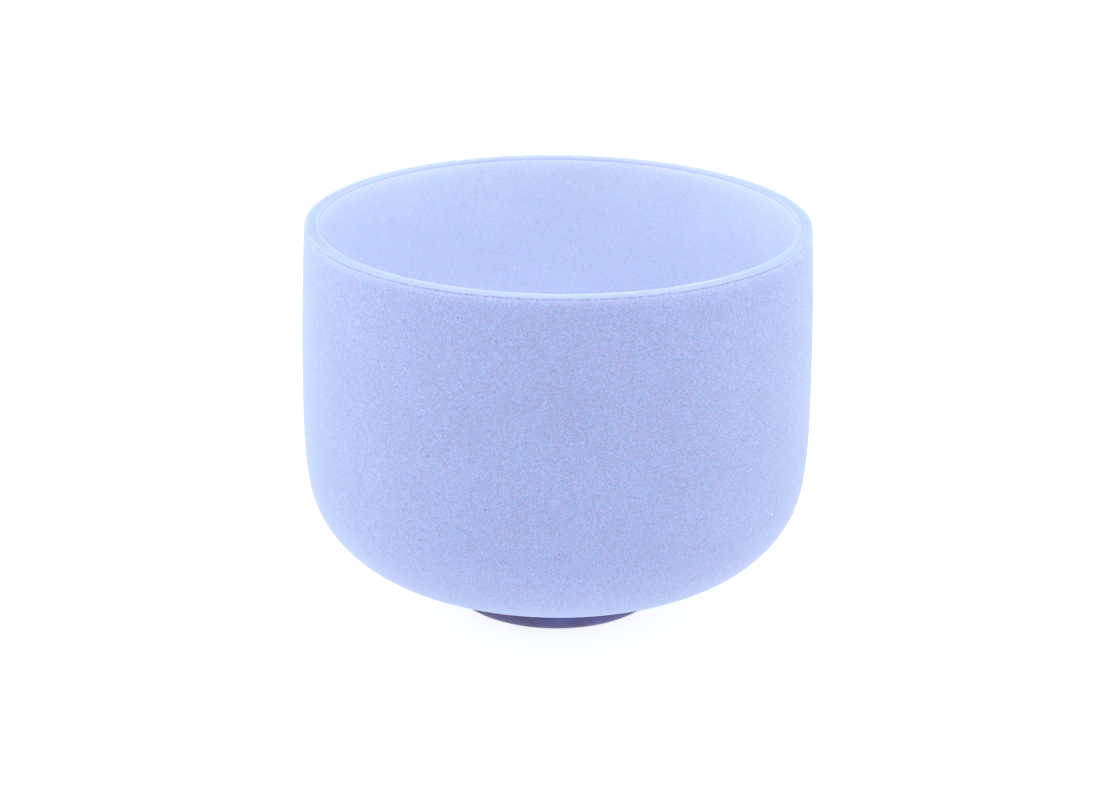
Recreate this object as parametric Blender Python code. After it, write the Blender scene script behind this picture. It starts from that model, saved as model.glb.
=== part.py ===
"""A frosted crystal singing bowl, standing on a loose rubber ring.

Both pieces are turned shapes on one upright axis: the fused quartz bowl, and under it the round-section ring
that lets it sound. The ring is flattened a little where it stands, and the bowl's domed underside rests on it.
Metres, +Z up. The origin is on the axis, at the level of the surface that the ring stands on.
"""

from math import atan2, acos, cos, hypot, pi, radians, sin, sqrt

import bmesh
import bpy

# The bowl's outside, read as a section from the rim down to the middle of the underside.
RIM_RADIUS = 0.127
BOWL_HEIGHT = 0.1915  # from the lowest point of the underside up to the rim
BELLY_DROP = 0.1037  # from the rim down to the widest level
BELLY_BULGE = 0.0032  # how far the widest level stands out beyond the rim
SHOULDER_RADIUS = 0.240  # the side, below the widest level
CORNER_RADIUS = 0.050  # between the side and the underside
UNDERSIDE_RADIUS = 0.280  # the shallow dome that rests on the ring

# The shell.
WALL = 0.0072
RIM_EDGE_RADIUS = 0.0006  # the ground edges of the flat rim

# The rubber ring.
RING_OUTSIDE_RADIUS = 0.05715
RING_THICKNESS = 0.0152
RING_FLATTENING = 0.0004  # how much of its thickness it loses where it stands
SEAT_CLEARANCE = 0.0003  # between the ring and the bowl's underside

# How finely the round shapes are divided.
STEPS_AROUND = 64
UNDERSIDE_STEPS = 6
CORNER_STEPS = 8
SHOULDER_STEPS = 2
SIDE_STEPS = 3
RIM_EDGE_STEPS = 3
RING_STEPS = 16
MERGE_DISTANCE = 1e-6
SHARP_EDGE = radians(35)

FROSTED_QUARTZ = {"Base Color": (0.46, 0.51, 0.84, 1), "Roughness": 0.62, "Metallic": 0.0, "IOR": 1.458}
DARK_RUBBER = {"Base Color": (0.055, 0.047, 0.085, 1), "Roughness": 0.55, "Metallic": 0.0, "IOR": 1.52}


# Section outlines. A section point is (distance from the axis, height), and an angle turns from straight down
# (0) through outward (a quarter turn) to straight up (half a turn).


def point_on(centre, radius, angle):
    return (centre[0] + radius * sin(angle), centre[1] - radius * cos(angle))


def arc(centre, radius, start, end, steps):
    return [point_on(centre, radius, start + (end - start) * i / steps) for i in range(steps + 1)]


def chain(*stretches):
    """One outline from stretches that each start where the last one ended."""
    outline = list(stretches[0])
    for stretch in stretches[1:]:
        outline += stretch[1:]
    return outline


def direction(start, end):
    """The angle at which end lies from start."""
    return atan2(end[0] - start[0], start[1] - end[1])


def outer_crossing(first, first_radius, second, second_radius):
    """Of the two points where circles of a section cross, the one further from the axis."""
    apart = hypot(second[0] - first[0], second[1] - first[1])
    along = (apart**2 + first_radius**2 - second_radius**2) / (2 * apart)
    aside = sqrt(first_radius**2 - along**2)
    unit = ((second[0] - first[0]) / apart, (second[1] - first[1]) / apart)
    return max(
        (first[0] + along * unit[0] - step * unit[1], first[1] + along * unit[1] + step * unit[0])
        for step in (-aside, aside)
    )


def rim_edge_centre(side_centre, radius_to_edge):
    """The middle of a rounded rim edge, at the height where it touches the flat of the rim."""
    height = BOWL_HEIGHT - RIM_EDGE_RADIUS
    return (side_centre[0] + sqrt(radius_to_edge**2 - (height - side_centre[1]) ** 2), height)


def bowl_outline():
    """The bowl's section, from the middle of the underside, up the outside, over the rim and down the inside.

    Each stretch of the outside is an arc that runs smoothly into the next, and the inside keeps the wall's
    thickness from it. Height 0 is the lowest point of the underside.
    """
    widest = BOWL_HEIGHT - BELLY_DROP
    belly_radius = RIM_RADIUS + BELLY_BULGE
    side_radius = (BELLY_DROP**2 + BELLY_BULGE**2) / (2 * BELLY_BULGE)
    side = (belly_radius - side_radius, widest)
    shoulder = (belly_radius - SHOULDER_RADIUS, widest)
    underside = (0, UNDERSIDE_RADIUS)
    corner = outer_crossing(
        underside, UNDERSIDE_RADIUS - CORNER_RADIUS, shoulder, SHOULDER_RADIUS - CORNER_RADIUS
    )
    outer_edge = rim_edge_centre(side, side_radius - RIM_EDGE_RADIUS)
    inner_edge = rim_edge_centre(side, side_radius - WALL + RIM_EDGE_RADIUS)

    underside_end = direction(underside, corner)
    shoulder_start = direction(shoulder, corner)
    outside_end = direction(side, outer_edge)
    inside_end = direction(side, inner_edge)

    outside = chain(
        arc(underside, UNDERSIDE_RADIUS, 0, underside_end, UNDERSIDE_STEPS),
        arc(corner, CORNER_RADIUS, underside_end, shoulder_start, CORNER_STEPS),
        arc(shoulder, SHOULDER_RADIUS, shoulder_start, pi / 2, SHOULDER_STEPS),
        arc(side, side_radius, pi / 2, outside_end, SIDE_STEPS),
        arc(outer_edge, RIM_EDGE_RADIUS, outside_end, pi, RIM_EDGE_STEPS),
    )
    inside = chain(
        arc(inner_edge, RIM_EDGE_RADIUS, pi, pi + inside_end, RIM_EDGE_STEPS),
        arc(side, side_radius - WALL, inside_end, pi / 2, SIDE_STEPS),
        arc(shoulder, SHOULDER_RADIUS - WALL, pi / 2, shoulder_start, SHOULDER_STEPS),
        arc(corner, CORNER_RADIUS - WALL, shoulder_start, underside_end, CORNER_STEPS),
        arc(underside, UNDERSIDE_RADIUS - WALL, underside_end, 0, UNDERSIDE_STEPS),
    )
    return outside + inside


def ring_centre():
    """The middle of the ring's round section."""
    return (RING_OUTSIDE_RADIUS - RING_THICKNESS / 2, RING_THICKNESS / 2 - RING_FLATTENING)


def ring_outline():
    """The ring's section: a circle with a flat on the surface it stands on, which closes the outline."""
    radius = RING_THICKNESS / 2
    flat_edge = acos(ring_centre()[1] / radius)
    return arc(ring_centre(), radius, flat_edge, 2 * pi - flat_edge, RING_STEPS)


def seat_height():
    """How high the lowest point of the bowl stands when its underside rests on the ring."""
    across, up = ring_centre()
    reach = UNDERSIDE_RADIUS + SEAT_CLEARANCE + RING_THICKNESS / 2
    return up + sqrt(reach**2 - across**2) - UNDERSIDE_RADIUS


def turned_mesh(name, outline, closed):
    """A solid turned about the upright axis. An outline that isn't closed starts and ends on the axis."""
    shape = bmesh.new()
    points = [shape.verts.new((across, 0, up)) for across, up in outline]
    edges = [shape.edges.new(pair) for pair in zip(points, points[1:])]
    if closed:
        edges.append(shape.edges.new((points[-1], points[0])))
    bmesh.ops.spin(
        shape,
        geom=points + edges,
        cent=(0, 0, 0),
        axis=(0, 0, 1),
        angle=2 * pi,
        steps=STEPS_AROUND,
        use_merge=True,
    )
    bmesh.ops.remove_doubles(shape, verts=shape.verts, dist=MERGE_DISTANCE)
    bmesh.ops.recalc_face_normals(shape, faces=shape.faces)
    mesh = bpy.data.meshes.new(name)
    shape.to_mesh(mesh)
    shape.free()
    mesh.shade_smooth()
    mesh.set_sharp_from_angle(angle=SHARP_EDGE)
    return mesh


def plain_material(name, values):
    material = bpy.data.materials.new(name)
    material.use_nodes = True
    shader = material.node_tree.nodes["Principled BSDF"]
    for socket, value in values.items():
        shader.inputs[socket].default_value = value
    return material


def add_piece(name, mesh, material, height):
    piece = bpy.data.objects.new(name, mesh)
    piece.data.materials.append(material)
    piece.location = (0, 0, height)
    bpy.context.scene.collection.objects.link(piece)
    return piece


for leftover in list(bpy.data.objects):
    bpy.data.objects.remove(leftover)

add_piece(
    "quartz_bowl",
    turned_mesh("quartz_bowl", bowl_outline(), closed=False),
    plain_material("frosted_quartz", FROSTED_QUARTZ),
    seat_height(),
)
add_piece(
    "rubber_ring",
    turned_mesh("rubber_ring", ring_outline(), closed=True),
    plain_material("dark_rubber", DARK_RUBBER),
    0,
)
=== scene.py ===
from math import atan2, pi, radians

import bmesh
import bpy
from mathutils import Matrix, Vector
from mathutils.geometry import intersect_sphere_sphere_2d


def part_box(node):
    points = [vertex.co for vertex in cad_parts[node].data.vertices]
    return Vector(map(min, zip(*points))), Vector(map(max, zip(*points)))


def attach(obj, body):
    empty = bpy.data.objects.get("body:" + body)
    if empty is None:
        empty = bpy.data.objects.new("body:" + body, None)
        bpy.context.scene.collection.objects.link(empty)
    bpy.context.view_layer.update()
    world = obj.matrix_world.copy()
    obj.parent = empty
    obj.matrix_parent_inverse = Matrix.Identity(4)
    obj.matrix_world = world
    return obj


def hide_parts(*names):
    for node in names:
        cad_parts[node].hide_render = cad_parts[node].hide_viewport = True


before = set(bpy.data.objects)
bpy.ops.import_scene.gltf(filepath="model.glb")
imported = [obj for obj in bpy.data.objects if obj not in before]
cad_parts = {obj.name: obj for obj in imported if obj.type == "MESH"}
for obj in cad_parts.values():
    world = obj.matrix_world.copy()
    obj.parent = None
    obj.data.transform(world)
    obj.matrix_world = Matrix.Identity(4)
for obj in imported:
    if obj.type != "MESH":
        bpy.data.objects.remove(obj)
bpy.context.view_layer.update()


# --- Rubber ring -------------------------------------------------------------------------------------------
# A loose O-ring of solid round rubber, pressed in a two-part mould, so a fine line of flash runs round its
# outside and its inside. The bowl's weight flattens it a little on the surface that it stands on.

ring_low, ring_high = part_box("rubber_ring")
ring_outside_radius = 0.05715
ring_thickness = 0.0152
ring_circle_radius = ring_outside_radius - ring_thickness / 2
ring_middle = ring_high.z - ring_thickness / 2
ring_steps_around = 192
ring_steps_over = 56
flash_height = 0.00014
merge_distance = 1e-6


def linear(hex_colour):
    """A linear RGBA colour from an sRGB hex one."""
    parts = [int(hex_colour[i : i + 2], 16) / 255 for i in (0, 2, 4)]
    return [p / 12.92 if p <= 0.04045 else ((p + 0.055) / 1.055) ** 2.4 for p in parts] + [1.0]


def add_node(tree, kind, sockets, **settings):
    """Adds a node with its settings. A socket is given a plain value, or the output that feeds it."""
    node = tree.nodes.new(kind)
    for name, value in settings.items():
        setattr(node, name, value)
    for name, value in sockets.items():
        if isinstance(value, bpy.types.NodeSocket):
            tree.links.new(value, node.inputs[name])
        else:
            node.inputs[name].default_value = value
    return node


def new_material(name):
    """An empty material, its node tree and the object's own coordinates in metres."""
    material = bpy.data.materials.new(name)
    material.use_nodes = True
    tree = material.node_tree
    tree.nodes.clear()
    return material, tree, add_node(tree, "ShaderNodeTexCoord", {}).outputs["Object"]


def finish_piece(name, shape, materials, body, node_name):
    """Makes a piece from its bmesh, with its finishes, and puts it in place of its CAD node."""
    mesh = bpy.data.meshes.new(name)
    shape.to_mesh(mesh)
    shape.free()
    mesh.shade_smooth()
    mesh.set_sharp_from_angle(angle=radians(40))
    for material in materials:
        mesh.materials.append(material)
    piece = bpy.data.objects.new(name, mesh)
    bpy.context.scene.collection.objects.link(piece)
    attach(piece, body)
    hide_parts(node_name)
    return piece


ring = bmesh.new()
section = bmesh.ops.create_circle(
    ring,
    segments=ring_steps_over,
    radius=ring_thickness / 2,
    matrix=Matrix.Translation((ring_circle_radius, 0, ring_middle))
    @ Matrix.Rotation(pi / 2, 4, "X"),
)["verts"]
for point in section:
    if abs(point.co.z - ring_middle) < merge_distance:
        point.co.x += flash_height if point.co.x > ring_circle_radius else -flash_height
    point.co.z = max(point.co.z, ring_low.z)
bmesh.ops.spin(
    ring,
    geom=ring.verts[:] + ring.edges[:],
    cent=(0, 0, 0),
    axis=(0, 0, 1),
    angle=2 * pi,
    steps=ring_steps_around,
    use_merge=True,
)
bmesh.ops.remove_doubles(ring, verts=ring.verts, dist=merge_distance)
bmesh.ops.recalc_face_normals(ring, faces=ring.faces)

# Moulded slate violet rubber: matt, faintly mottled, with a dry bloom that shows paler in broad soft patches.
bloom_size = 0.018
skin_size = 0.0009
rubber, tree, place = new_material("moulded_slate_rubber")
cloud = add_node(
    tree,
    "ShaderNodeTexNoise",
    {"Vector": place, "Scale": 1 / bloom_size, "Detail": 4.0, "Roughness": 0.6},
)
skin = add_node(
    tree,
    "ShaderNodeTexNoise",
    {"Vector": place, "Scale": 1 / skin_size, "Detail": 3.0, "Roughness": 0.6},
)
bloom = add_node(tree, "ShaderNodeMapRange", {"Value": cloud.outputs[0], "From Min": 0.42, "From Max": 0.7})
colour = add_node(
    tree,
    "ShaderNodeMix",
    {"Factor": bloom.outputs[0], 6: linear("46416f"), 7: linear("5b5b9c")},
    data_type="RGBA",
)
rough = add_node(tree, "ShaderNodeMapRange", {"Value": skin.outputs[0], "To Min": 0.46, "To Max": 0.68})
bump = add_node(tree, "ShaderNodeBump", {"Height": skin.outputs[0], "Distance": 0.00006, "Strength": 0.8})
shader = add_node(
    tree,
    "ShaderNodeBsdfPrincipled",
    {
        "Base Color": colour.outputs[2],
        "Roughness": rough.outputs[0],
        "IOR": 1.52,
        "Normal": bump.outputs[0],
        "Sheen Weight": 0.15,
        "Sheen Roughness": 0.5,
    },
)
add_node(tree, "ShaderNodeOutputMaterial", {"Surface": shader.outputs[0]})

finish_piece("moulded_rubber_ring", ring, [rubber], "ring", "rubber_ring")


# --- Quartz bowl -------------------------------------------------------------------------------------------
# Quartz sand spun in a hot mould and fused by an arc into one shell of even thickness. The outside keeps the
# sandy skin of the mould, the inside is smoother, and the rim is sawn off level and ground.

bowl_low, bowl_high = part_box("quartz_bowl")
belly_radius = bowl_high.x
belly_drop = 0.1037  # from the rim down to the widest level
belly_height = bowl_high.z - belly_drop
belly_bulge = 0.0032
side_radius = (belly_drop**2 + belly_bulge**2) / (2 * belly_bulge)
shoulder_radius = 0.240
corner_radius = 0.050
underside_radius = 0.280
wall = 0.0072
outer_rim_edge = 0.0005
inner_rim_edge = 0.0014
rim_edge_steps = 4
rim_waste = 0.002  # what stands above the rim until it is sawn off
bowl_steps_around = 256

side = Vector((belly_radius - side_radius, belly_height))
shoulder = Vector((belly_radius - shoulder_radius, belly_height))
underside = Vector((0, bowl_low.z + underside_radius))
corner = max(
    intersect_sphere_sphere_2d(
        underside, underside_radius - corner_radius, shoulder, shoulder_radius - corner_radius
    ),
    key=lambda point: point.x,
)


def angle_from(centre, point):
    """How far a point lies round from straight below a centre of the section."""
    return atan2(point.x - centre.x, centre.y - point.y)


underside_end = angle_from(underside, corner)
shoulder_start = angle_from(shoulder, corner)
rim_turn = (bowl_high.z + rim_waste - belly_height) / side_radius

bowl = bmesh.new()
tip = bmesh.ops.create_vert(bowl, co=(0, 0, bowl_low.z))["vert"]
for centre, turn, steps in (
    (underside, underside_end, 26),
    (corner, shoulder_start - underside_end, 20),
    (shoulder, pi / 2 - shoulder_start, 8),
    (side, rim_turn, 30),
):
    swept = bmesh.ops.spin(
        bowl, geom=tip, cent=(centre.x, 0, centre.y), axis=(0, -1, 0), angle=turn, steps=steps
    )
    tip = [item for item in swept["geom_last"] if isinstance(item, bmesh.types.BMVert)]
bmesh.ops.spin(
    bowl,
    geom=bowl.verts[:] + bowl.edges[:],
    cent=(0, 0, 0),
    axis=(0, 0, 1),
    angle=2 * pi,
    steps=bowl_steps_around,
    use_merge=True,
)
bmesh.ops.remove_doubles(bowl, verts=bowl.verts, dist=merge_distance)
bmesh.ops.recalc_face_normals(bowl, faces=bowl.faces)
bmesh.ops.solidify(bowl, geom=bowl.faces[:], thickness=wall)
outer_skin, inner_skin, ground_rim, stoned_edge = range(4)
for face in bowl.faces:
    middle = face.calc_center_median()
    turned_in = face.normal.dot(Vector((middle.x, middle.y, middle.z - belly_height)))
    face.material_index = inner_skin if turned_in < 0 else outer_skin
cut = bmesh.ops.bisect_plane(
    bowl,
    geom=bowl.verts[:] + bowl.edges[:] + bowl.faces[:],
    plane_co=bowl_high,
    plane_no=(0, 0, 1),
    clear_outer=True,
)
sawn = [item for item in cut["geom_cut"] if isinstance(item, bmesh.types.BMEdge)]
for face in bmesh.ops.bridge_loops(bowl, edges=sawn)["faces"]:
    face.material_index = ground_rim
rim_middle = sum(edge.verts[0].co.xy.length for edge in sawn) / len(sawn)
outer_edge = [edge for edge in sawn if edge.verts[0].co.xy.length > rim_middle]
inner_edge = [edge for edge in sawn if edge.verts[0].co.xy.length < rim_middle]
for edges, radius, skin in (
    (outer_edge, outer_rim_edge, ground_rim),
    (inner_edge, inner_rim_edge, stoned_edge),
):
    bmesh.ops.bevel(
        bowl,
        geom=edges,
        offset=radius,
        segments=rim_edge_steps,
        profile=0.5,
        affect="EDGES",
        material=skin,
    )
bmesh.ops.recalc_face_normals(bowl, faces=bowl.faces)

grain_size = 0.00045  # the sand is 0.2 to 0.4 mm, and is drawn a little coarser so that it shows
drift_size = 0.035
edge_line_top = 0.0010  # both below the rim
edge_line_bottom = 0.0015
edge_line_break_size = 0.0015


def fused_quartz(name, lilac, sky, contrast, roughness, relief, painted_speck_strength, edge_line):
    """Frosted quartz. Light sinks in and spreads through the wall, so it glows softly from edge to edge.

    The last two arguments say how strongly the painted glints and the painted pit shade show, and how dark
    the thin broken line just below the rim is.
    """
    material, tree, place = new_material(name)
    # Each grain of the sand has its own tint, shade and roughness.
    grains = add_node(tree, "ShaderNodeTexVoronoi", {"Vector": place, "Scale": 1 / grain_size})
    chance = add_node(tree, "ShaderNodeSeparateColor", {0: grains.outputs["Color"]})
    tint = add_node(
        tree,
        "ShaderNodeMix",
        {"Factor": chance.outputs[0], 6: linear(lilac), 7: linear(sky)},
        data_type="RGBA",
    )
    # Slow drifts of shade, where the shell fused a little thicker or thinner.
    drift = add_node(
        tree,
        "ShaderNodeTexNoise",
        {"Vector": place, "Scale": 1 / drift_size, "Detail": 3.0, "Roughness": 0.55},
    )
    shade = add_node(
        tree,
        "ShaderNodeMapRange",
        {"Value": chance.outputs[1], "To Min": 1 - contrast, "To Max": 1 + contrast},
    )
    depth = add_node(
        tree,
        "ShaderNodeMapRange",
        {"Value": drift.outputs[0], "From Min": 0.3, "From Max": 0.7, "To Min": 0.98, "To Max": 1.02},
    )
    shade = add_node(
        tree, "ShaderNodeMath", {0: shade.outputs[0], 1: depth.outputs[0]}, operation="MULTIPLY"
    )
    colour = add_node(
        tree, "ShaderNodeVectorMath", {0: tint.outputs[2], "Scale": shade.outputs[0]}, operation="SCALE"
    ).outputs[0]
    # Near-white specks are clear beads of quartz, painted white as glints of light. Then come dark specks,
    # painted shade in small pits. Both are about 1 mm across. Each cell of space holds one or none.
    for spacing, width, share, painted_speck_colour in ((0.026, 0.0011, 0.45, "f4faff"), (0.012, 0.0008, 0.5, "6c6694")):
        cell = add_node(tree, "ShaderNodeTexVoronoi", {"Vector": place, "Scale": 1 / spacing})
        lot = add_node(tree, "ShaderNodeSeparateColor", {0: cell.outputs["Color"]})
        there = add_node(tree, "ShaderNodeMath", {0: lot.outputs[0], 1: share}, operation="LESS_THAN")
        spot = add_node(
            tree,
            "ShaderNodeMapRange",
            {
                "Value": cell.outputs["Distance"],
                "From Min": 0.35 * width / spacing,
                "From Max": 0.6 * width / spacing,
                "To Min": painted_speck_strength,
                "To Max": 0.0,
            },
        )
        spot = add_node(
            tree, "ShaderNodeMath", {0: spot.outputs[0], 1: there.outputs[0]}, operation="MULTIPLY"
        )
        colour = add_node(
            tree, "ShaderNodeMix", {"Factor": spot.outputs[0], 6: colour, 7: linear(painted_speck_colour)}, data_type="RGBA"
        ).outputs[2]
    # A thin, broken, darker line is laid into the colour just below the outer edge of the rim.
    height = add_node(tree, "ShaderNodeSeparateXYZ", {0: place})
    broken = add_node(
        tree, "ShaderNodeTexNoise", {"Vector": place, "Scale": 1 / edge_line_break_size, "Detail": 3.0}
    )
    line = add_node(
        tree,
        "ShaderNodeMapRange",
        {
            "Value": height.outputs[2],
            "From Min": bowl_high.z - edge_line_bottom,
            "From Max": bowl_high.z - edge_line_top,
        },
    )
    strength = add_node(
        tree,
        "ShaderNodeMapRange",
        {"Value": broken.outputs[0], "From Min": 0.35, "From Max": 0.6, "To Min": 0.3 * edge_line, "To Max": edge_line},
    )
    line = add_node(
        tree, "ShaderNodeMath", {0: line.outputs[0], 1: strength.outputs[0]}, operation="MULTIPLY"
    )
    colour = add_node(
        tree, "ShaderNodeMix", {"Factor": line.outputs[0], 6: colour, 7: linear("6a6e9c")}, data_type="RGBA"
    ).outputs[2]
    rough = add_node(
        tree,
        "ShaderNodeMapRange",
        {"Value": chance.outputs[2], "To Min": roughness - 0.08, "To Max": roughness + 0.08},
    )
    bump = add_node(
        tree, "ShaderNodeBump", {"Height": grains.outputs["Distance"], "Distance": relief, "Strength": 1.0}
    )
    shader = add_node(
        tree,
        "ShaderNodeBsdfPrincipled",
        {
            "Base Color": colour,
            "Roughness": rough.outputs[0],
            "IOR": 1.458,
            "Normal": bump.outputs[0],
            "Subsurface Weight": 1.0,
            "Subsurface Radius": (1.0, 1.0, 1.0),
            "Subsurface Scale": 0.022,
            "Sheen Weight": 0.15,
            "Sheen Roughness": 0.6,
            "Sheen Tint": (0.7, 1.0, 1.0, 1.0),
        },
    )
    add_node(tree, "ShaderNodeOutputMaterial", {"Surface": shader.outputs[0]})
    return material


finish_piece(
    "fused_quartz_bowl",
    bowl,
    [
        # The outside is a grainy mix of lilac and sky blue, with painted glints on beads, painted pit shade
        # in specks and a thin broken darker line below the rim.
        fused_quartz("sandy_fused_quartz", "b3a7cc", "94b3d3", 0.19, 0.62, 0.00006, 1.0, 0.7),
        # The inside is finer and calmer, because the arc melted its sand further. Its colour is painted paler
        # than the outside: painted light, standing for the light that fills the bowl.
        fused_quartz("smooth_quartz_painted_paler", "d8cef0", "c0daf1", 0.1, 0.5, 0.00003, 0.4, 0.0),
        # The rim is a plain bluish band, cut through the wall and ground matt.
        fused_quartz("ground_quartz_rim", "9aa0d9", "92a6d9", 0.06, 0.62, 0.00003, 0.0, 0.0),
        # Its inner edge, rounded with a stone, is painted a shade lighter, a painted glow of light through
        # the rim, and leads softly into the inside.
        fused_quartz("stoned_quartz_edge", "aaaade", "9eb2de", 0.06, 0.62, 0.00003, 0.0, 0.0),
    ],
    "bowl",
    "quartz_bowl",
)


# --- Studio ------------------------------------------------------------------------------------------------
# A white room with a lit floor, soft boxes above, behind, in front and at both sides, and a camera that looks
# down a little at the bowl.

floor_radius = 9.0
floor_mesh = bpy.data.meshes.new("floor")
floor_shape = bmesh.new()
bmesh.ops.create_circle(floor_shape, cap_ends=True, segments=96, radius=floor_radius)
floor_shape.to_mesh(floor_mesh)
floor_shape.free()
floor = bpy.data.objects.new("floor", floor_mesh)
bpy.context.scene.collection.objects.link(floor)
# A sheet of opal acrylic, lit from below, which stays white right up to the ring.
acrylic, tree, _ = new_material("lit_opal_acrylic")
shader = add_node(
    tree,
    "ShaderNodeBsdfPrincipled",
    {
        "Base Color": linear("969aa6"),
        "Roughness": 0.7,
        "Emission Color": (1.0, 1.0, 1.0, 1.0),
        "Emission Strength": 0.83,
    },
)
add_node(tree, "ShaderNodeOutputMaterial", {"Surface": shader.outputs[0]})
floor_mesh.materials.append(acrylic)

world = bpy.data.worlds.new("white_studio")
bpy.context.scene.world = world
world.use_nodes = True
sky = world.node_tree
aim = add_node(sky, "ShaderNodeTexCoord", {})
upward = add_node(sky, "ShaderNodeSeparateXYZ", {0: aim.outputs["Generated"]})
glow = add_node(
    sky,
    "ShaderNodeMapRange",
    {"Value": upward.outputs[2], "From Min": 0.12, "From Max": 0.45, "To Min": 1.0, "To Max": 0.3},
)
# The camera's side of the room is darker.
room = add_node(
    sky,
    "ShaderNodeMapRange",
    {"Value": upward.outputs[1], "From Min": -0.9, "From Max": 0.1, "To Min": 0.55, "To Max": 1.0},
)
glow = add_node(sky, "ShaderNodeMath", {0: glow.outputs[0], 1: room.outputs[0]}, operation="MULTIPLY")
# Low down it is white all round, so the floor meets it without a line.
skirt = add_node(
    sky,
    "ShaderNodeMapRange",
    {"Value": upward.outputs[2], "From Min": 0.12, "From Max": 0.25, "To Min": 1.0, "To Max": 0.0},
)
glow = add_node(sky, "ShaderNodeMath", {0: glow.outputs[0], 1: skirt.outputs[0]}, operation="MAXIMUM")
sky.links.new(glow.outputs[0], sky.nodes["Background"].inputs["Strength"])
sky.nodes["Background"].inputs["Color"].default_value = (1.0, 1.02, 1.08, 1.0)


def add_sun(name, strength, width, azimuth, elevation):
    """A wide soft light. Azimuth turns from the camera's side (0) towards the right (90)."""
    data = bpy.data.lights.new(name, "SUN")
    data.energy = strength
    data.angle = radians(width)
    data.color = (0.93, 0.96, 1.0)
    lamp = bpy.data.objects.new(name, data)
    lamp.rotation_euler = (radians(90 - elevation), 0, radians(azimuth))
    bpy.context.scene.collection.objects.link(lamp)


add_sun("top_softbox", 1.17, 60, 0, 90)
add_sun("back_softbox", 1.4, 50, 180, 50)
add_sun("left_softbox", 1.3, 50, -100, 16)
add_sun("right_softbox", 0.89, 50, 100, 16)
add_sun("front_softbox", 0.59, 50, 0, 60)

camera_stand = (0, -1.1394, 0.5359)
camera_turn = -0.00147
camera_look_down = radians(20.706)
camera_roll = radians(0.579)
camera_data = bpy.data.cameras.new("camera")
camera_data.lens = 75.85
camera_data.sensor_width = 36
camera = bpy.data.objects.new("camera", camera_data)
camera.matrix_world = (
    Matrix.Translation(camera_stand)
    @ Matrix.Rotation(camera_turn, 4, "Z")
    @ Matrix.Rotation(pi / 2 - camera_look_down, 4, "X")
    @ Matrix.Rotation(camera_roll, 4, "Z")
)
bpy.context.scene.collection.objects.link(camera)
bpy.context.scene.camera = camera
bpy.context.scene.view_settings.view_transform = "Standard"
